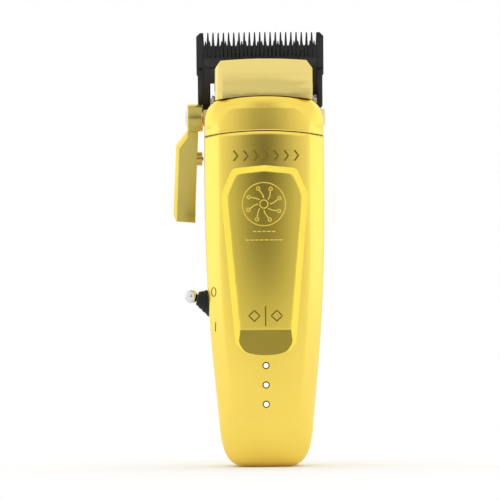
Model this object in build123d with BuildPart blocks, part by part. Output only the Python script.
"""Cordless hair clipper with a full metal body, a two-hole blade set, a taper lever and a side toggle switch.

Row frame, millimetres: +Z runs from the tail to the blade tips and the label face looks along -Y.
The origin is the centre of the flat tail face that the clipper stands on.
"""

from build123d import *

import os
from math import cos, radians, sin

os.makedirs("parts", exist_ok=True)

# ---------------------------------------------------------------- driving dimensions
WALL = 1.8  # metal shell wall
SPLIT_Y = 1.2  # parting plane of the two shells
SPLIT_GAP = 0.25

# Label face: a barrel surface, crowned along the body and across it.
FACE_Y = -20.2
FACE_Z = 80.0
FACE_RADIUS = 792.0
CROWN_RADIUS = 80.0
FACET_DEPTH = 8.0
OVERRUN = 2.2  # how far the body form stands past the face before it is cut

TAIL_TOP = 13.4  # lower edge of the label face
SEAM_TOP = 123.1  # arched seam between the shells and the collar
SEAM_RADIUS = 128.0
SEAM_GAP = 0.35
COLLAR_TOP = 135.9  # arched top edge of the collar, under the nose cap
COLLAR_TOP_RADIUS = 100.0

# Blade seat: local x is the row's X, local y runs to the tips, local z to the label side.
BLADE_TILT = 12.0
BLADE_FOOT_Y, BLADE_FOOT_Z = 8.1, 130.5  # lower end of the fixed blade, on the cutting plane
BLADE_OFFSET = -1.25  # the blade set sits a little towards the lever
TAPER_TRAVEL = 1.8
LEVER_SWING = 44.0

# Taper lever shaft, along X
LEVER_Y, LEVER_Z = 2.0, 128.5
SHAFT_RADIUS = 2.2
BUSH_RADIUS = 3.1
CRANK_OFFSET = TAPER_TRAVEL / (2 * sin(radians(LEVER_SWING / 2)))
CRANK_PIN_RADIUS = 1.25
CRANK_WEB_RADIUS = 3.8
FIT = 0.05  # radial clearance of a running fit

# Motor, along Z
MOTOR_Y = -3.5
MOTOR_RADIUS = 12.0
MOTOR_FOOT, MOTOR_TOP = 86.0, 119.0
MOTOR_SHAFT_RADIUS = 1.15
CAM_OFFSET = 1.0
CAM_PIN_RADIUS = 1.5

# Toggle switch: a lever that turns about a pin along Y
TOGGLE_X, TOGGLE_Y, TOGGLE_Z = -9.3, -6.5, 58.2
TOGGLE_REACH = 18.46
TOGGLE_SWING = 28.2
BALL_RADIUS = 2.5

BATTERY_Y, BATTERY_FOOT, BATTERY_LENGTH, BATTERY_RADIUS = 5.4, 24.0, 50.0, 9.15
LED_HEIGHTS = (23.2, 30.3, 37.4)
LED_RADIUS = 0.85
CASE_SCREWS = ((-10.8, 17.0), (10.8, 17.0), (-16.2, 79.5), (16.2, 79.5))
SOCKET_RADIUS = 2.75
SOCKET_Y = 4.9

BLADE_PLANE = Plane(
    origin=(0, BLADE_FOOT_Y, BLADE_FOOT_Z),
    x_dir=(1, 0, 0),
    z_dir=(0, -cos(radians(BLADE_TILT)), -sin(radians(BLADE_TILT))),
)


def face_y(z, x=0.0):
    """Y of the label face at a height and a distance from the middle."""
    return FACE_Y + (z - FACE_Z) ** 2 / (2 * FACE_RADIUS) + x * x / (2 * CROWN_RADIUS)


def finish(piece, name):
    """Labels a finished piece and writes its STEP file."""
    piece.label = name
    export_step(piece, f"parts/{name}.step")


def barrel(offset, low, high):
    """Solid behind the label face moved outwards by offset, between two heights."""
    axis_y = FACE_Y + CROWN_RADIUS
    foot, middle, top = ((face_y(z) - offset, z) for z in (low, (low + high) / 2, high))
    with BuildPart() as body:
        with BuildSketch(Plane.YZ):
            with BuildLine():
                ThreePointArc(foot, middle, top)
                Polyline(top, (axis_y, high), (axis_y, low), foot)
            make_face()
        revolve(axis=Axis((0, axis_y, 0), (0, 0, 1)))
    return body.part


def arch(top, radius):
    """Solid under an arched surface that runs along Y, with its crest at a height."""
    with BuildPart() as body:
        with BuildSketch(Plane.XZ):
            with Locations((0, top - radius)):
                Circle(radius)
        extrude(amount=60, both=True)
    return body.part


def station(z, half_width, crease, back, back_flat, past=OVERRUN):
    """Body station whose facets start at a crease on the label face."""
    crease_y = face_y(z, crease)
    front_half = crease - past * (half_width - crease) / FACET_DEPTH
    return z, half_width, front_half, crease_y - past, crease_y + FACET_DEPTH, back_flat, back


# z, half width, front half width, front Y, facet foot Y, back half width, back Y
TAIL_STATIONS = [
    (0.0, 8.8, 5.8, -8.8, -5.6, 5.6, 8.8),
    (3.35, 14.2, 8.4, -13.6, -7.6, 7.4, 13.4),
    (6.7, 15.8, 9.2, -15.8, -8.6, 8.2, 15.2),
    (10.05, 16.6, 9.8, -16.9, -9.1, 8.6, 16.1),
    (TAIL_TOP, 17.1, 10.2, -17.3, -9.2, 8.9, 16.7),
]
BODY_STATIONS = [
    station(TAIL_TOP, 17.1, 10.4, 16.7, 8.9),
    station(36.1, 19.2, 13.9, 18.5, 9.8),
    station(58.8, 20.9, 15.5, 18.9, 10.6),
    station(81.5, 21.8, 16.3, 17.8, 11.0),
    station(104.2, 22.05, 16.45, 15.0, 11.2),
    station(127.0, 22.0, 16.5, 10.4, 11.2),
]
COLLAR_STATIONS = [
    station(118.0, 22.05, 16.5, 12.4, 11.2),
    station(122.75, 21.95, 16.4, 11.4, 11.2),
    station(127.5, 21.1, 15.6, 10.4, 10.8, past=1.6),
    station(132.25, 19.1, 13.8, 9.4, 10.0, past=0.4),
    station(137.0, 16.2, 11.2, 8.4, 8.8, past=-2.2),
]
EDGE_RADIUS = 1.4
BACK_RADIUS = 5.0
FULL_SIZE = 16.0  # half width from which the edge radii are full


def outline_points(data, inset):
    """Closed outline of one body station, drawn inwards by inset."""
    _, half, front_half, front, side, back_half, back = data
    front_half -= inset * 0.5
    half -= inset
    back_half -= inset * 0.5
    front += inset
    back -= inset
    turn = back - 0.34 * back
    right = [(front_half, front), (half, side + inset * 0.3), (half, turn), (back_half, back)]
    left = [(-x, y) for x, y in reversed(right)]
    return right + left


def loft_form(stations, inset):
    """Smooth loft through evenly spaced body stations."""
    with BuildPart() as form:
        for data in stations:
            size = min(1.0, data[1] / FULL_SIZE)
            with BuildSketch(Plane.XY.offset(data[0])) as outline:
                with BuildLine():
                    Polyline(*outline_points(data, inset), close=True)
                make_face()
                corners = outline.vertices().group_by(Axis.Y)
                fillet(corners[0] + corners[1], EDGE_RADIUS * size)
                corners = outline.vertices().group_by(Axis.Y)
                fillet(corners[-1], BACK_RADIUS * size)
        loft()
    return form.part


def body_form(stations, inset=0.0):
    """Lofted body cut to the crowned label face."""
    with BuildPart() as form:
        add(loft_form(stations, inset))
        low, high = stations[0][0], stations[-1][0]
        add(barrel(-inset, low - 1, high + 1), mode=Mode.INTERSECT)
    return form.part


def slab(low, high, axis="Z"):
    """Large block that covers everything between two levels of one axis."""
    size = 400.0
    middle = (low + high) / 2
    sizes = {"X": (high - low, size, size), "Y": (size, high - low, size)}
    with BuildPart() as block:
        where = {"X": (middle, 0, 0), "Y": (0, middle, 0), "Z": (0, 0, middle)}[axis]
        with Locations(where):
            Box(*sizes.get(axis, (size, size, high - low)))
    return block.part


def rod(radius, start, end):
    """Round bar between two points."""
    axis = Vector(*end) - Vector(*start)
    with BuildPart() as bar:
        with BuildSketch(Plane(origin=start, z_dir=axis)):
            Circle(radius)
        extrude(amount=axis.length)
    return bar.part


def on_blade(x, y, z):
    """Row position of a point given on the blade seat."""
    return BLADE_PLANE.from_local_coords(Vector(x, y, z))


def blade_block(x_range, y_range, z_range):
    """Square block given by its extents on the blade seat."""
    spans = [high - low for low, high in (x_range, y_range, z_range)]
    middle = tuple((low + high) / 2 for low, high in (x_range, y_range, z_range))
    with BuildPart(BLADE_PLANE) as block:
        with Locations(middle):
            Box(*spans)
    return block.part


tail = loft_form(TAIL_STATIONS, 0.0)
tail_cavity = loft_form(TAIL_STATIONS, WALL)
body = body_form(BODY_STATIONS)
body_cavity = body_form(BODY_STATIONS, WALL)
collar_form = body_form(COLLAR_STATIONS)
collar_cavity = body_form(COLLAR_STATIONS, WALL)
seam = arch(SEAM_TOP, SEAM_RADIUS)
FAR = 90.0
TAIL_WALL = 2.6

# ---------------------------------------------------------------- metal shells
BOSS_RADIUS = 2.7
SCREW_RADIUS = 1.0
SCREW_HEAD_RADIUS = 2.0
SCREW_HEAD_HEIGHT = 1.5
HEAD_POCKET_RADIUS = 2.3
SWITCH_HOLE_Z = 59.4
SWITCH_HOLE_HEIGHT, SWITCH_HOLE_WIDTH = 12.0, 8.2
LENS_HOLE_RADIUS = LED_RADIUS + 0.04


def screw_seat(z):
    """Y of the seat under a case screw's head."""
    return 13.0 if z < FACE_Z / 2 else 11.4


with BuildPart() as shell_pair:
    add(tail)
    add(body)
    add(seam, mode=Mode.INTERSECT)
    add(body_cavity, mode=Mode.SUBTRACT)
    add(tail_cavity & slab(TAIL_WALL, FAR), mode=Mode.SUBTRACT)
    for x, z in CASE_SCREWS:
        boss = rod(BOSS_RADIUS, (x, -FAR, z), (x, FAR, z))
        add(boss & (body + tail) & slab(TAIL_WALL, FAR))
        add(rod(HEAD_POCKET_RADIUS, (x, screw_seat(z), z), (x, FAR, z)), mode=Mode.SUBTRACT)

with BuildPart() as front_shell:
    add(shell_pair.part)
    add(slab(-FAR, SPLIT_Y - SPLIT_GAP / 2, "Y"), mode=Mode.INTERSECT)
    for x, z in CASE_SCREWS:
        add(rod(SCREW_RADIUS - 0.05, (x, -9.0, z), (x, FAR, z)), mode=Mode.SUBTRACT)
    for z in LED_HEIGHTS:
        add(rod(LENS_HOLE_RADIUS, (0, -FAR, z), (0, -12, z)), mode=Mode.SUBTRACT)
    with BuildSketch(Plane.YZ.offset(-15)):
        with Locations((TOGGLE_Y, SWITCH_HOLE_Z)):
            SlotOverall(SWITCH_HOLE_HEIGHT, SWITCH_HOLE_WIDTH, rotation=90)
    extrude(amount=-20, mode=Mode.SUBTRACT)
finish(front_shell.part, "front_shell")

with BuildPart() as back_shell:
    add(shell_pair.part)
    add(slab(SPLIT_Y + SPLIT_GAP / 2, FAR, "Y"), mode=Mode.INTERSECT)
    for x, z in CASE_SCREWS:
        add(rod(SCREW_RADIUS + 0.15, (x, -FAR, z), (x, FAR, z)), mode=Mode.SUBTRACT)
    with BuildSketch(Plane.XY.offset(-1)):
        with Locations((0, SOCKET_Y)):
            Circle(SOCKET_RADIUS + 0.55)
    extrude(amount=TAIL_WALL + 2, mode=Mode.SUBTRACT)
finish(back_shell.part, "back_shell")

with BuildPart() as case_screws:
    for x, z in CASE_SCREWS:
        seat = screw_seat(z)
        add(rod(SCREW_RADIUS - 0.05, (x, -8.5, z), (x, seat, z)))
        add(rod(SCREW_HEAD_RADIUS, (x, seat, z), (x, seat + SCREW_HEAD_HEIGHT, z)))
        with BuildSketch(Plane((x, seat + SCREW_HEAD_HEIGHT, z), x_dir=(1, 0, 0), z_dir=(0, -1, 0))):
            Rectangle(2.2, 0.6)
            Rectangle(0.6, 2.2)
        extrude(amount=0.9, mode=Mode.SUBTRACT)
finish(case_screws.part, "case_screws")

# ---------------------------------------------------------------- thumb plate on the label face
PLATE_PROUD = 1.15
PLATE_OUTER = ((0, 110.6), (11.8, 109.5), (16.0, 99.8), (11.1, 45.3), (7.7, 41.9), (0, 40.9))
PLATE_TOP = ((0, 108.7), (10.1, 107.6), (13.7, 99.3), (8.7, 46.5), (6.2, 43.6), (0, 42.8))
PLATE_BEVEL_ANGLE = 60.0
PLATE_CREST_Y = -21.5
PLATE_SHRINK = 2.43  # how far the crest lies inside the rim of the top
PLATE_RAMP_FOOT, PLATE_RAMP_TOP = 41.2, 50.5


def coffin(points):
    """Six-sided outline, symmetrical about the body's middle."""
    with BuildSketch(Plane.XZ) as outline:
        with BuildLine():
            Polyline(*points)
            mirror(about=Plane.YZ)
        make_face()
    return outline.sketch


with BuildPart() as thumb_plate:
    with BuildSketch(Plane.XZ.offset(-PLATE_CREST_Y)):
        add(offset(coffin(PLATE_TOP), amount=-PLATE_SHRINK, mode=Mode.PRIVATE))
    extrude(amount=-5, taper=-PLATE_BEVEL_ANGLE)
    add(extrude(coffin(PLATE_OUTER), amount=40, mode=Mode.PRIVATE), mode=Mode.INTERSECT)
    add(barrel(PLATE_PROUD, 20, 125), mode=Mode.INTERSECT)
    with BuildSketch(Plane.YZ):
        foot = (face_y(PLATE_RAMP_FOOT), PLATE_RAMP_FOOT)
        top = (face_y(PLATE_RAMP_TOP) - PLATE_PROUD, PLATE_RAMP_TOP)
        Polygon(foot, top, (-FAR, PLATE_RAMP_TOP), (-FAR, 30), (foot[0], 30), align=None)
    extrude(amount=30, both=True, mode=Mode.SUBTRACT)
    add(barrel(0.0, 20, 125), mode=Mode.SUBTRACT)
finish(thumb_plate.part, "thumb_plate")

# ---------------------------------------------------------------- collar, seam gasket and nose cap
BLADE_THICKNESS = 2.6
SPRING_Y, SPRING_Z = 0.2, 134.75  # axis of the tension spring
COIL_RADIUS = 2.05
LEG_HALF_WIDTH = 23.05
FOOT_CLEARANCE = TAPER_TRAVEL + 0.35
COIL_NOTCH = (11.0, 2 * COIL_RADIUS + 1.0, 2 * COIL_RADIUS + 1.0)

# room for the blade set behind the head: the blade itself, then the carriage in front of it
blade_bay = blade_block((-30, 30), (-FOOT_CLEARANCE, 40), (-12, 0.35))
carriage_bay = blade_block((-16.6, 16.6), (-6.6, 40), (-0.25, 7))
bay_front = blade_block((-17.5, 17.5), (-FOOT_CLEARANCE, 40), (-12, 7))

with BuildPart() as collar:
    add(collar_form)
    add(collar_cavity, mode=Mode.SUBTRACT)
    add(arch(SEAM_TOP + SEAM_GAP, SEAM_RADIUS), mode=Mode.SUBTRACT)
    add(arch(COLLAR_TOP, COLLAR_TOP_RADIUS), mode=Mode.INTERSECT)
    for bay in (blade_bay, carriage_bay, bay_front):
        add(bay, mode=Mode.SUBTRACT)
    for side in (-1, 1):
        with Locations((side * 19.5, SPRING_Y, SPRING_Z)):
            Box(*COIL_NOTCH, mode=Mode.SUBTRACT)
    reach = (-40, LEVER_Y, LEVER_Z), (40, LEVER_Y, LEVER_Z)
    add(rod(BUSH_RADIUS + FIT, *reach), mode=Mode.SUBTRACT)
finish(collar.part, "collar")

with BuildPart() as seam_gasket:
    add(body_form(COLLAR_STATIONS, 0.45))
    add(body_form(COLLAR_STATIONS, WALL), mode=Mode.SUBTRACT)
    add(arch(SEAM_TOP + SEAM_GAP, SEAM_RADIUS), mode=Mode.INTERSECT)
    add(arch(SEAM_TOP, SEAM_RADIUS), mode=Mode.SUBTRACT)
finish(seam_gasket.part, "seam_gasket")

CAP_HALF_WIDTH = 17.9
CAP_WALL = 1.5
CAP_FRONT = ((-15.6, 132.0), (-15.3, 137.0), (-13.9, 142.0), (-9.6, 150.0))
CAP_BACK = ((0.2, 150.0), (4.0, 132.0))
CAP_CREST = ((-15.8, 149.2), (0, 149.9), (15.8, 149.2))
CAP_SHOULDER = ((17.9, 146.2), (17.9, 128.0), (-17.9, 128.0), (-17.9, 146.2), (-15.8, 149.2))


def cap_block(inset):
    """Solid nose of the clipper, drawn inwards by inset."""
    with BuildPart() as nose:
        with BuildSketch(Plane.YZ):
            with BuildLine():
                Spline(*((y + inset, z) for y, z in CAP_FRONT))
                (y1, z1), (y2, z2) = CAP_BACK
                back = inset * 4  # the nose is open towards the blade
                Polyline(
                    (CAP_FRONT[-1][0] + inset, CAP_FRONT[-1][1]), (y1 + back, z1), (y2 + back, z2),
                    (CAP_FRONT[0][0] + inset, CAP_FRONT[0][1]),
                )
            make_face()
        extrude(amount=CAP_HALF_WIDTH - inset, both=True)
        uprights = nose.faces().sort_by(Axis.Y)[0].edges().filter_by(Plane.YZ)
        fillet(uprights, 3.2 - inset)
        with BuildSketch(Plane.XZ):
            with BuildLine():
                ThreePointArc(*CAP_CREST)
                Polyline(CAP_CREST[-1], *CAP_SHOULDER)
            make_face()
            if inset:
                offset(amount=-inset)
        extrude(amount=40, both=True, mode=Mode.INTERSECT)
    return nose.part


with BuildPart() as nose_cap:
    add(cap_block(0.0))
    add(cap_block(CAP_WALL), mode=Mode.SUBTRACT)
    for side in (-1, 1):
        with Locations((side * 19.5, SPRING_Y, SPRING_Z)):
            Box(*COIL_NOTCH, mode=Mode.SUBTRACT)
    add(arch(COLLAR_TOP + SEAM_GAP, COLLAR_TOP_RADIUS), mode=Mode.SUBTRACT)
finish(nose_cap.part, "nose_cap")

# ---------------------------------------------------------------- head chassis and motor mount
CHASSIS_GAP = 0.2
BULKHEAD_FOOT = MOTOR_TOP + 0.4
BULKHEAD_TOP = 122.4
CHASSIS_TOP = 133.4
WINDOW = 7.0
NECK_HALF_WIDTH = 14.0
NECK_TOP = 9.4
NECK_FACES = (2.3, 3.9)
SPRING_ROD_RADIUS = 1.0
MOTOR_SCREW_X = 7.6
MOTOR_BOSS_RADIUS = 4.6

with BuildPart() as head_chassis:
    add(body_form(COLLAR_STATIONS, WALL + CHASSIS_GAP))
    add(slab(BULKHEAD_FOOT, CHASSIS_TOP), mode=Mode.INTERSECT)
    with Locations((0, -2, BULKHEAD_TOP + 10)):
        Box(27.0, 20.0, 20.0, mode=Mode.SUBTRACT)
    add(blade_block((-30, 30), (-FOOT_CLEARANCE, 40), (-12, 2.25)), mode=Mode.SUBTRACT)
    add(blade_block((-16.3, 16.3), (-6.7, 40), (-6, 2.25)), mode=Mode.SUBTRACT)
    add(blade_block((-NECK_HALF_WIDTH, NECK_HALF_WIDTH), (-6.4, NECK_TOP), NECK_FACES))
    add(blade_block((-WINDOW, WINDOW), (-8, 5.8), (0, 9)), mode=Mode.SUBTRACT)
    add(rod(BUSH_RADIUS + FIT, *reach), mode=Mode.SUBTRACT)
    add(rod(MOTOR_BOSS_RADIUS + 0.3, (0, MOTOR_Y, 100), (0, MOTOR_Y, 130)), mode=Mode.SUBTRACT)
    for side in (-1, 1):
        x = side * MOTOR_SCREW_X
        add(rod(1.15, (x, MOTOR_Y, 100), (x, MOTOR_Y, 130)), mode=Mode.SUBTRACT)
        with Locations((side * 17.5, SPRING_Y, SPRING_Z)):
            Box(*COIL_NOTCH, mode=Mode.SUBTRACT)
        with Locations((side * 13.3, SPRING_Y + 1.2, SPRING_Z - 1.2)):
            Box(1.6, 5.6, 5.6)  # lug that carries one spring rod
    add(rod(SPRING_ROD_RADIUS, (-30, SPRING_Y, SPRING_Z), (30, SPRING_Y, SPRING_Z)), mode=Mode.SUBTRACT)
finish(head_chassis.part, "head_chassis")

with BuildPart() as motor_can:
    with BuildSketch(Plane.XY.offset(MOTOR_FOOT)):
        with Locations((0, MOTOR_Y)):
            Circle(MOTOR_RADIUS)
    extrude(amount=MOTOR_TOP - MOTOR_FOOT)
    fillet(motor_can.edges().filter_by(GeomType.CIRCLE), 0.8)
    add(rod(MOTOR_BOSS_RADIUS, (0, MOTOR_Y, MOTOR_TOP - 1), (0, MOTOR_Y, MOTOR_TOP + 1.6)))
    add(rod(MOTOR_RADIUS - 0.9, (0, MOTOR_Y, MOTOR_FOOT + 1.4), (0, MOTOR_Y, MOTOR_TOP - 1.4)), mode=Mode.SUBTRACT)
    add(rod(3.6, (0, MOTOR_Y, 0), (0, MOTOR_Y, 200)), mode=Mode.SUBTRACT)
    for side in (-1, 1):
        x = side * MOTOR_SCREW_X
        add(rod(0.95, (x, MOTOR_Y, MOTOR_TOP - 2), (x, MOTOR_Y, 200)), mode=Mode.SUBTRACT)
finish(motor_can.part, "motor_can")

with BuildPart() as motor_bearings:
    for low in (MOTOR_FOOT - 0.2, MOTOR_TOP - 0.8):
        add(rod(3.6, (0, MOTOR_Y, low), (0, MOTOR_Y, low + 2.4)))
    add(rod(MOTOR_SHAFT_RADIUS + FIT, (0, MOTOR_Y, 0), (0, MOTOR_Y, 200)), mode=Mode.SUBTRACT)
finish(motor_bearings.part, "motor_bearings")

STATOR_FOOT, STATOR_TOP = 91.0, 114.0
with BuildPart() as stator_coils:
    add(rod(MOTOR_RADIUS - 0.9, (0, MOTOR_Y, STATOR_FOOT), (0, MOTOR_Y, STATOR_TOP)))
    add(rod(6.4, (0, MOTOR_Y, 0), (0, MOTOR_Y, 200)), mode=Mode.SUBTRACT)
    with BuildSketch(Plane.XY.offset(STATOR_FOOT - 1)):
        with Locations((0, MOTOR_Y)):
            with PolarLocations(8.6, 6):
                Rectangle(2.2, 1.2)
    extrude(amount=STATOR_TOP - STATOR_FOOT + 2, mode=Mode.SUBTRACT)
finish(stator_coils.part, "stator_coils")

with BuildPart() as rotor_magnet:
    add(rod(5.9, (0, MOTOR_Y, STATOR_FOOT + 0.5), (0, MOTOR_Y, STATOR_TOP - 0.5)))
    add(rod(MOTOR_SHAFT_RADIUS, (0, MOTOR_Y, 0), (0, MOTOR_Y, 200)), mode=Mode.SUBTRACT)
finish(rotor_magnet.part, "rotor_magnet")

CAM_FOOT, CAM_TOP, PIN_TOP = 134.0, 138.0, 145.6
motor_shaft = rod(MOTOR_SHAFT_RADIUS, (0, MOTOR_Y, MOTOR_FOOT - 0.6), (0, MOTOR_Y, CAM_TOP - 1))
finish(motor_shaft, "motor_shaft")

with BuildPart() as drive_cam:
    add(rod(2.6, (0, MOTOR_Y, CAM_FOOT - 3.0), (0, MOTOR_Y, CAM_FOOT)))
    add(rod(4.0, (0, MOTOR_Y, CAM_FOOT), (0, MOTOR_Y, CAM_TOP)))
    add(rod(CAM_PIN_RADIUS, (CAM_OFFSET, MOTOR_Y, CAM_TOP), (CAM_OFFSET, MOTOR_Y, PIN_TOP)))
    add(rod(MOTOR_SHAFT_RADIUS, (0, MOTOR_Y, 0), (0, MOTOR_Y, CAM_TOP - 1)), mode=Mode.SUBTRACT)
    with Locations((4.5, MOTOR_Y, (CAM_FOOT + CAM_TOP) / 2 + 0.5)):
        Box(4.0, 9.0, 3.2, mode=Mode.SUBTRACT)  # relief that balances the pin
finish(drive_cam.part, "drive_cam")

with BuildPart() as motor_screws:
    for side in (-1, 1):
        x = side * MOTOR_SCREW_X
        add(rod(0.95, (x, MOTOR_Y, MOTOR_TOP - 1.4), (x, MOTOR_Y, BULKHEAD_TOP)))
        add(rod(1.8, (x, MOTOR_Y, BULKHEAD_TOP), (x, MOTOR_Y, BULKHEAD_TOP + 1.2)))
finish(motor_screws.part, "motor_screws")

# ---------------------------------------------------------------- blade set
BLADE_SET = Plane(BLADE_PLANE.from_local_coords(Vector(BLADE_OFFSET, 0, 0)), (1, 0, 0), BLADE_PLANE.z_dir)
PROFILE = Plane(on_blade(0, 0, 0), BLADE_PLANE.y_dir, (1, 0, 0))  # local x to the tips, local y to the label
FIXED_TIP, FIXED_ROOT = 30.16, 25.05
FIXED_TEETH, FIXED_PITCH = 21, 1.917
FIXED_HALF = 23.5
TONGUE_HALF, LEG_INNER = 16.4, 18.4
SHOULDER = 13.7
NOTCH_TOP = 11.0
RAIL_INNER, RAIL_FOOT, RAIL_TOP, RAIL_HEIGHT = 20.9, 4.1, 16.6, 1.7
BLADE_SCREW_X, BLADE_SCREW_Y = 7.6, 5.4
CUTTER_TIP, CUTTER_ROOT = 27.0, 21.3
CUTTER_TEETH, CUTTER_PITCH = 28, 1.484
CUTTER_FOOT = 13.1
CUTTER_FACE = 0.03  # running gap on the cutting plane

with BuildPart() as fixed_blade:
    with BuildSketch(BLADE_SET):
        with BuildLine():
            Polyline(
                (0, 0.4), (TONGUE_HALF, 0.4), (TONGUE_HALF, NOTCH_TOP), (LEG_INNER, NOTCH_TOP), (LEG_INNER, 0),
                (LEG_HALF_WIDTH - 2.25, 0), (LEG_HALF_WIDTH, 2.25), (LEG_HALF_WIDTH, SHOULDER),
                (FIXED_HALF, SHOULDER + 0.7), (FIXED_HALF, FIXED_TIP - 1.6), (FIXED_HALF - 1.4, FIXED_TIP - 0.2),
                (0, FIXED_TIP),
            )
            mirror(about=Plane.YZ)
        make_face()
    extrude(amount=-BLADE_THICKNESS)
    with BuildSketch(PROFILE):
        Polygon((-1, -3), (15, -BLADE_THICKNESS), (FIXED_TIP + 1, -0.7), (FIXED_TIP + 1, 1), (-1, 1), align=None)
    extrude(amount=40, both=True, mode=Mode.INTERSECT)
    with BuildSketch(BLADE_SET):
        for side in (-1, 1):
            with Locations((side * (RAIL_INNER + LEG_HALF_WIDTH) / 2, (RAIL_FOOT + RAIL_TOP) / 2)):
                Rectangle(LEG_HALF_WIDTH - RAIL_INNER, RAIL_TOP - RAIL_FOOT)
    extrude(amount=RAIL_HEIGHT)
    with BuildSketch(BLADE_SET):
        for index in range(FIXED_TEETH + 1):
            x = (index - FIXED_TEETH / 2) * FIXED_PITCH
            with Locations((x, 0)):
                Polygon(
                    (-0.42, FIXED_ROOT), (0.42, FIXED_ROOT), (0.74, FIXED_TIP + 0.1), (-0.74, FIXED_TIP + 0.1),
                    align=None,
                )
    extrude(amount=4, both=True, mode=Mode.SUBTRACT)
    with BuildSketch(BLADE_PLANE):
        with Locations((-BLADE_SCREW_X, BLADE_SCREW_Y), (BLADE_SCREW_X, BLADE_SCREW_Y)):
            Circle(1.7)
    extrude(amount=-4, mode=Mode.SUBTRACT)
    with BuildSketch(BLADE_PLANE.offset(-1.3)):
        with Locations((-BLADE_SCREW_X, BLADE_SCREW_Y), (BLADE_SCREW_X, BLADE_SCREW_Y)):
            Circle(3.1)
    extrude(amount=-4, mode=Mode.SUBTRACT)
finish(fixed_blade.part, "fixed_blade")

with BuildPart() as cutter_blade:
    half = (CUTTER_TEETH / 2) * CUTTER_PITCH
    with BuildSketch(BLADE_SET):
        with BuildLine():
            Polyline(
                (0, CUTTER_FOOT), (17.2, CUTTER_FOOT), (18.4, CUTTER_FOOT + 1.2), (18.4, 16.9), (half, 18.9),
                (half, CUTTER_TIP), (0, CUTTER_TIP),
            )
            mirror(about=Plane.YZ)
        make_face()
    extrude(amount=3)
    with BuildSketch(PROFILE):
        Polygon(
            (CUTTER_FOOT - 1, CUTTER_FACE), (CUTTER_TIP + 1, CUTTER_FACE), (CUTTER_TIP + 1, 0.4),
            (CUTTER_TIP - 0.4, 0.5), (20.6, 2.2), (17.6, 2.2), (16.9, 1.4), (CUTTER_FOOT - 1, 1.4), align=None,
        )
    extrude(amount=40, both=True, mode=Mode.INTERSECT)
    with BuildSketch(BLADE_SET):
        for index in range(CUTTER_TEETH + 1):
            x = (index - CUTTER_TEETH / 2) * CUTTER_PITCH
            with Locations((x, 0)):
                Polygon(
                    (-0.22, CUTTER_ROOT), (0.22, CUTTER_ROOT), (0.24, CUTTER_TIP - 2.0), (0.62, CUTTER_TIP + 0.1),
                    (-0.62, CUTTER_TIP + 0.1), (-0.24, CUTTER_TIP - 2.0), align=None,
                )
    extrude(amount=4, both=True, mode=Mode.SUBTRACT)
finish(cutter_blade.part, "cutter_blade")

FOLLOWER_HALF, FOLLOWER_TOP = 7.0, 16.4
SLOT_HALF = 2 * CAM_OFFSET + CAM_PIN_RADIUS + 0.35
SLOT_Z = (5.5, 12.0)
with BuildPart() as cam_follower:
    add(blade_block((-FOLLOWER_HALF, FOLLOWER_HALF), (CUTTER_FOOT + 0.2, FOLLOWER_TOP), (1.4, 13.3)))
    add(blade_block((-SLOT_HALF, SLOT_HALF), (0, 30), SLOT_Z), mode=Mode.SUBTRACT)
finish(cam_follower.part, "cam_follower")

# ---------------------------------------------------------------- blade carriage
CARRIAGE_FOOT, CARRIAGE_TOP = -4.2, 10.9
CARRIAGE_FACE = 2.0
PIN_Y = -0.69 + CRANK_OFFSET * sin(radians(LEVER_SWING / 2))
with BuildPart() as blade_carriage:
    add(blade_block((-15.6, 15.6), (CARRIAGE_FOOT, CARRIAGE_TOP), (0, CARRIAGE_FACE)))
    add(blade_block((-18.2, 18.2), (8.4, CARRIAGE_TOP), (0, 1.6)))
    add(blade_block((-3.2, 3.2), (PIN_Y - 3.0, PIN_Y + 3.0), (0, 5.9)))
    slot_half = CRANK_PIN_RADIUS + FIT
    add(blade_block((-8, 8), (PIN_Y - slot_half, PIN_Y + slot_half), (2.5, 9)), mode=Mode.SUBTRACT)
    with BuildSketch(BLADE_PLANE.offset(-1)):
        with Locations((-BLADE_SCREW_X, BLADE_SCREW_Y), (BLADE_SCREW_X, BLADE_SCREW_Y)):
            Circle(1.25)
    extrude(amount=6, mode=Mode.SUBTRACT)
finish(blade_carriage.part, "blade_carriage")

with BuildPart() as blade_screws:
    for x in (-BLADE_SCREW_X, BLADE_SCREW_X):
        add(rod(1.25, on_blade(x, BLADE_SCREW_Y, -1.4), on_blade(x, BLADE_SCREW_Y, 2.0)))
        head = Plane(on_blade(x, BLADE_SCREW_Y, -1.3), (1, 0, 0), -BLADE_PLANE.z_dir)
        with BuildSketch(head):
            Circle(2.8)
        extrude(amount=1.5)
        with BuildSketch(head.offset(1.5)):
            Rectangle(3.2, 0.7)
            Rectangle(0.7, 3.2)
        extrude(amount=-0.9, mode=Mode.SUBTRACT)
finish(blade_screws.part, "blade_screws")

# ---------------------------------------------------------------- tension spring on its rod
WIRE_RADIUS = 0.4
COIL_TURNS = 4
COIL_PITCH = 0.95
COIL_END = 19.5
with BuildPart() as spring_rods:
    for side in (-1, 1):
        add(rod(SPRING_ROD_RADIUS, (side * 12.5, SPRING_Y, SPRING_Z), (side * 19.6, SPRING_Y, SPRING_Z)))
finish(spring_rods.part, "spring_rods")

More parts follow.
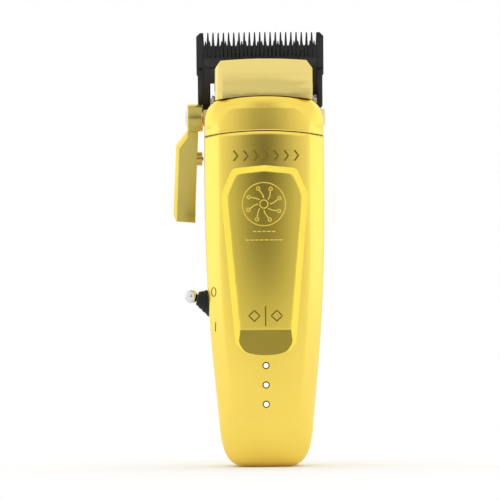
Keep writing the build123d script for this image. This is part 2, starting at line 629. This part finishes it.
with BuildPart() as tension_spring:
    for side in (-1, 1):
        start = COIL_END - COIL_PITCH * COIL_TURNS - WIRE_RADIUS
        mean = COIL_RADIUS - WIRE_RADIUS
        coil = Helix(COIL_PITCH, COIL_PITCH * COIL_TURNS, mean, center=(side * start, SPRING_Y, SPRING_Z),
                     direction=(side, 0, 0), mode=Mode.PRIVATE)
        with BuildSketch(Plane(coil @ 0, z_dir=coil % 0)):
            Circle(WIRE_RADIUS)
        sweep(path=coil)
        tip = on_blade(side * 9.6, CUTTER_FOOT + 1.4, 1.4 + 0.75)
        first_turn = [coil @ (step / (8 * COIL_TURNS)) for step in range(8)]
        add(rod(WIRE_RADIUS, max(first_turn, key=lambda point: point.Y + point.Z), tip))
finish(tension_spring.part, "tension_spring")

# ---------------------------------------------------------------- taper lever
REST_TILT = LEVER_SWING / 2
HUB_RADIUS = 5.2
HUB_INNER, HUB_OUTER = -22.5, -28.3
WALL_SIDE = 17.4  # inner end of the bush and of the pivot cap
ARM_THICKNESS = 4.0
CRANK_ANGLE = REST_TILT + BLADE_TILT  # of the crank pin above +Y
CRANK_Y = LEVER_Y + CRANK_OFFSET * cos(radians(CRANK_ANGLE))
CRANK_Z = LEVER_Z + CRANK_OFFSET * sin(radians(CRANK_ANGLE))
ARM_PLANE = Plane(
    (0, LEVER_Y, LEVER_Z), (1, 0, 0), (0, cos(radians(REST_TILT)), sin(radians(REST_TILT)))
)  # local y runs down the arm


def along_x(radius, start, end, y=LEVER_Y, z=LEVER_Z):
    """Round bar along X at the lever shaft, or at a given Y and Z."""
    return rod(radius, (start, y, z), (end, y, z))


with BuildPart() as lever_shaft:
    add(along_x(SHAFT_RADIUS, HUB_OUTER, -4.5))
    add(along_x(SHAFT_RADIUS, 4.5, 19.4))
    for x in (-6.0, 4.2):
        add(along_x(CRANK_WEB_RADIUS, x, x + 1.8))
    add(along_x(CRANK_PIN_RADIUS, -5.0, 5.0, CRANK_Y, CRANK_Z))
    add(along_x(1.0, HUB_OUTER, HUB_OUTER + 4), mode=Mode.SUBTRACT)
finish(lever_shaft.part, "lever_shaft")

with BuildPart() as lever_bush:
    add(along_x(BUSH_RADIUS, -22.3, -WALL_SIDE))
    add(along_x(SHAFT_RADIUS + FIT, -30, 0), mode=Mode.SUBTRACT)
finish(lever_bush.part, "lever_bush")

with BuildPart() as pivot_cap:
    add(along_x(BUSH_RADIUS, WALL_SIDE, 22.7))
    fillet(pivot_cap.edges().filter_by(GeomType.CIRCLE).sort_by(Axis.X)[-1], 0.8)
    add(along_x(SHAFT_RADIUS + FIT, 0, 19.8), mode=Mode.SUBTRACT)
finish(pivot_cap.part, "pivot_cap")

ARM_OUTLINE = (
    (-24.3, 5.9), (-24.3, 0), (-28.2, 0), (-28.2, 4.7), (-32.6, 10.9), (-33.8, 38.1), (-32.9, 40.2),
    (-25.7, 40.8), (-25.5, 32.6),
)
PLUNGER_Y = 16.1  # of the detent, along the arm
DETENT_FLANGE_RADIUS = 2.55

with BuildPart() as lever_hub:
    add(along_x(HUB_RADIUS, HUB_OUTER, HUB_INNER))
    chamfer(lever_hub.edges().filter_by(GeomType.CIRCLE), length=0.45)

with BuildPart() as taper_lever:
    with BuildSketch(ARM_PLANE):
        Polygon(*ARM_OUTLINE, align=None)
    extrude(amount=ARM_THICKNESS / 2, both=True)
    broad_faces = taper_lever.faces().filter_by(Axis((0, 0, 0), ARM_PLANE.z_dir))
    outer = [edge for edge in broad_faces.edges() if edge.center().X < -30.0 and edge.length > 5.0]
    chamfer(outer, length=1.3)
    add(lever_hub.part)
    add(along_x(SHAFT_RADIUS, -30, 0), mode=Mode.SUBTRACT)
    detent = ARM_PLANE.from_local_coords(Vector(0, PLUNGER_Y, 0))
    add(along_x(1.3, -27.6, -20, detent.Y, detent.Z), mode=Mode.SUBTRACT)
    add(along_x(DETENT_FLANGE_RADIUS, -24.9, -20, detent.Y, detent.Z), mode=Mode.SUBTRACT)
finish(taper_lever.part, "taper_lever")

with BuildPart() as lever_screw:
    with BuildSketch(Plane.XY.offset(LEVER_Z)):
        with BuildLine():
            crown = ThreePointArc((HUB_OUTER - 0.75, LEVER_Y), (HUB_OUTER - 0.6, LEVER_Y + 1.9),
                                  (HUB_OUTER, LEVER_Y + 3.6))
            Polyline(crown @ 1, (HUB_OUTER, LEVER_Y + 1.0), (HUB_OUTER + 3.6, LEVER_Y + 1.0),
                     (HUB_OUTER + 3.6, LEVER_Y), crown @ 0)
        make_face()
    revolve(axis=Axis((0, LEVER_Y, LEVER_Z), (1, 0, 0)))
    with Locations((HUB_OUTER - 0.5, LEVER_Y, LEVER_Z)):
        Box(0.7, 0.8, 8.0, mode=Mode.SUBTRACT)
finish(lever_screw.part, "lever_screw")

with BuildPart() as detent_sleeve:
    add(along_x(DETENT_FLANGE_RADIUS, -24.9, -22.9, detent.Y, detent.Z))
    add(along_x(1.3, -27.5, -24.0, detent.Y, detent.Z))
    add(along_x(1.0, -27.0, -20, detent.Y, detent.Z), mode=Mode.SUBTRACT)
finish(detent_sleeve.part, "detent_sleeve")

with BuildPart() as detent_pin:
    add(along_x(1.0 - FIT, -24.2, -22.45, detent.Y, detent.Z))
    fillet(detent_pin.edges().sort_by(Axis.X)[-1], 0.7)
finish(detent_pin.part, "detent_pin")

with BuildPart() as detent_spring:
    coil = Helix(0.42, 2.1, 0.72, center=(-26.6, detent.Y, detent.Z), direction=(1, 0, 0), mode=Mode.PRIVATE)
    with BuildSketch(Plane(coil @ 0, z_dir=coil % 0)):
        Circle(0.13)
    sweep(path=coil)
finish(detent_spring.part, "detent_spring")

# ---------------------------------------------------------------- toggle switch
TOGGLE_TILT = TOGGLE_SWING / 2
TOGGLE_PIN_RADIUS = 0.75
arm_end = (
    TOGGLE_X - TOGGLE_REACH * cos(radians(TOGGLE_TILT)), TOGGLE_Y,
    TOGGLE_Z + TOGGLE_REACH * sin(radians(TOGGLE_TILT)),
)
SWITCH_Y = (-9.6, -3.45)
ARM_RADIUS = 1.15
BALL_BORE = TOGGLE_REACH - 0.8  # how far the arm reaches into the ball
bore_end = (
    TOGGLE_X - BALL_BORE * cos(radians(TOGGLE_TILT)), TOGGLE_Y, TOGGLE_Z + BALL_BORE * sin(radians(TOGGLE_TILT)),
)

with BuildPart() as switch_body:
    with Locations((-8.75, sum(SWITCH_Y) / 2, TOGGLE_Z)):
        Box(11.5, SWITCH_Y[1] - SWITCH_Y[0], 12.0)
    with Locations((-11.0, TOGGLE_Y, TOGGLE_Z)):
        Box(12.0, 3.4, 8.4, mode=Mode.SUBTRACT)
    pin_hole = rod(TOGGLE_PIN_RADIUS, (TOGGLE_X, -20, TOGGLE_Z), (TOGGLE_X, 0, TOGGLE_Z))
    add(pin_hole, mode=Mode.SUBTRACT)
finish(switch_body.part, "switch_body")

toggle_pin = rod(TOGGLE_PIN_RADIUS, (TOGGLE_X, SWITCH_Y[0] + 0.2, TOGGLE_Z), (TOGGLE_X, SWITCH_Y[1] - 0.2, TOGGLE_Z))
finish(toggle_pin, "toggle_pin")

toggle_stem = rod(ARM_RADIUS, (TOGGLE_X, TOGGLE_Y, TOGGLE_Z), bore_end)
with BuildPart() as toggle_arm:
    add(toggle_stem)
    add(rod(2.2, (TOGGLE_X, TOGGLE_Y - 1.5, TOGGLE_Z), (TOGGLE_X, TOGGLE_Y + 1.5, TOGGLE_Z)))
    add(rod(TOGGLE_PIN_RADIUS + FIT, (TOGGLE_X, -20, TOGGLE_Z), (TOGGLE_X, 0, TOGGLE_Z)), mode=Mode.SUBTRACT)
finish(toggle_arm.part, "toggle_arm")

stem_axis = (-cos(radians(TOGGLE_TILT)), 0, sin(radians(TOGGLE_TILT)))
with BuildPart() as toggle_ball:
    with BuildSketch(Plane(arm_end, x_dir=stem_axis, z_dir=(0, 1, 0))):
        with BuildLine():
            bore_mouth = -((BALL_RADIUS**2 - ARM_RADIUS**2) ** 0.5)
            dome = ThreePointArc((BALL_RADIUS, 0), (0, BALL_RADIUS), (bore_mouth, ARM_RADIUS))
            Polyline(dome @ 1, (BALL_BORE - TOGGLE_REACH, ARM_RADIUS), (BALL_BORE - TOGGLE_REACH, 0), dome @ 0)
        make_face()
    revolve(axis=Axis(arm_end, stem_axis))
finish(toggle_ball.part, "toggle_ball")

BOOT_TIP_X = -24.6
BOOT_PLANE_X = -17.4


def boot_oval(x, height, width, z):
    """Oval section of the rubber boot, square to X."""
    with BuildSketch(Plane.YZ.offset(x)) as oval:
        with Locations((TOGGLE_Y, z)):
            SlotOverall(height, width, rotation=90)
    return oval.sketch


with BuildPart() as toggle_boot:
    # flange inside the shell, neck through its opening, then the leaning sleeve
    add(extrude(boot_oval(BOOT_PLANE_X, 13.4, 8.4, SWITCH_HOLE_Z), amount=-0.9, mode=Mode.PRIVATE))
    add(extrude(boot_oval(BOOT_PLANE_X, 11.8, 8.0, SWITCH_HOLE_Z), amount=-3.8, mode=Mode.PRIVATE))
    add(loft([boot_oval(-21.2, 11.8, 8.0, SWITCH_HOLE_Z), boot_oval(-23.2, 7.6, 7.2, 61.2),
              boot_oval(BOOT_TIP_X, 5.0, 4.9, 62.1)], mode=Mode.PRIVATE))
    bore = (TOGGLE_X, TOGGLE_Y, TOGGLE_Z), arm_end
    with BuildSketch(Plane(bore[0], z_dir=Vector(*bore[0]) - Vector(*bore[1]))) as mouth:
        Circle(6.4)
    with BuildSketch(Plane(bore[1], z_dir=Vector(*bore[0]) - Vector(*bore[1]))) as tip:
        Circle(1.3)
    add(loft([mouth.sketch, tip.sketch], mode=Mode.PRIVATE) & slab(-24.2, 0, "X"), mode=Mode.SUBTRACT)
    add(rod(1.3, *bore), mode=Mode.SUBTRACT)
finish(toggle_boot.part, "toggle_boot")

# ---------------------------------------------------------------- board, lights and battery
BOARD_Y = (-13.3, -11.7)
BOARD_Z = (20.6, 80.0)
BOARD_HALF = 11.0
with BuildPart() as main_board:
    with BuildSketch(Plane.XZ.offset(-BOARD_Y[0])):
        with Locations((0, sum(BOARD_Z) / 2)):
            RectangleRounded(2 * BOARD_HALF, BOARD_Z[1] - BOARD_Z[0], 1.5)
    extrude(amount=BOARD_Y[0] - BOARD_Y[1])
finish(main_board.part, "main_board")

CHIPS = (
    # x, z, width, height, thickness, all on the battery side of the board
    (4.5, 33.0, 5.0, 5.0, 1.0),
    (-5.5, 30.0, 3.2, 1.6, 1.1),
    (-5.5, 36.0, 4.0, 4.0, 1.8),
    (5.5, 44.0, 6.0, 3.0, 1.2),
    (0.0, 74.5, 9.0, 4.0, 4.2),
)
with BuildPart() as board_components:
    for x, z, width, height, thickness in CHIPS:
        with Locations((x, BOARD_Y[1] + thickness / 2, z)):
            Box(width, thickness, height)
finish(board_components.part, "board_components")

LIGHT_THICKNESS = 1.0
with BuildPart() as status_lights:
    for z in LED_HEIGHTS:
        with Locations((0, BOARD_Y[0] - LIGHT_THICKNESS / 2, z)):
            Box(1.6, LIGHT_THICKNESS, 0.8)
finish(status_lights.part, "status_lights")

with BuildPart() as light_lenses:
    for z in LED_HEIGHTS:
        add(rod(LED_RADIUS, (0, BOARD_Y[0] - LIGHT_THICKNESS - 0.2, z), (0, face_y(z) - 0.1, z)))
finish(light_lenses.part, "light_lenses")

with BuildPart() as switch_terminals:
    for z in (TOGGLE_Z - 3.8, TOGGLE_Z, TOGGLE_Z + 3.8):
        with Locations((-6.5, (BOARD_Y[1] + SWITCH_Y[0]) / 2, z)):
            Box(1.2, SWITCH_Y[0] - BOARD_Y[1], 0.5)
finish(switch_terminals.part, "switch_terminals")

BATTERY_TOP = BATTERY_FOOT + BATTERY_LENGTH
with BuildPart() as battery_cell:
    add(rod(BATTERY_RADIUS, (0, BATTERY_Y, BATTERY_FOOT), (0, BATTERY_Y, BATTERY_TOP)))
    fillet(battery_cell.edges().filter_by(GeomType.CIRCLE), 0.7)
finish(battery_cell.part, "battery_cell")

TAB_THICKNESS = 0.3
with BuildPart() as battery_tabs:
    for low in (BATTERY_FOOT - TAB_THICKNESS, BATTERY_TOP):
        with Locations((0, BATTERY_Y, low + TAB_THICKNESS / 2)):
            Box(10.0, 5.0, TAB_THICKNESS)
finish(battery_tabs.part, "battery_tabs")

CRADLE_RADIUS = 10.0
with BuildPart() as battery_cradle:
    low, high = BATTERY_FOOT - 1.6, BATTERY_TOP + 1.6
    add(rod(CRADLE_RADIUS, (0, BATTERY_Y, low), (0, BATTERY_Y, high)))
    add(rod(BATTERY_RADIUS + 0.1, (0, BATTERY_Y, BATTERY_FOOT - 0.35), (0, BATTERY_Y, BATTERY_TOP + 0.35)),
        mode=Mode.SUBTRACT)
    add(slab(-FAR, BATTERY_Y - 4.0, "Y"), mode=Mode.SUBTRACT)
    add(slab(-FAR, BATTERY_Y + 0.0, "Y") & slab(BATTERY_FOOT + 6, BATTERY_TOP - 6), mode=Mode.SUBTRACT)
finish(battery_cradle.part, "battery_cradle")

# ---------------------------------------------------------------- charging socket in the tail
SOCKET_DEPTH = 9.5
SOCKET_TOP = 12.5
SOCKET_OUTER = SOCKET_RADIUS + 0.5
with BuildPart() as charge_socket:
    add(rod(SOCKET_OUTER, (0, SOCKET_Y, 0.3), (0, SOCKET_Y, SOCKET_TOP)))
    add(rod(4.2, (0, SOCKET_Y, TAIL_WALL), (0, SOCKET_Y, SOCKET_TOP)))
    add(rod(SOCKET_RADIUS, (0, SOCKET_Y, 0), (0, SOCKET_Y, SOCKET_DEPTH + 0.3)), mode=Mode.SUBTRACT)
    add(rod(0.6, (0, SOCKET_Y, 0), (0, SOCKET_Y, 30)), mode=Mode.SUBTRACT)
finish(charge_socket.part, "charge_socket")

socket_contact = rod(0.6, (0, SOCKET_Y, SOCKET_DEPTH + 0.3), (0, SOCKET_Y, SOCKET_TOP + 2.0))
finish(socket_contact, "socket_contact")
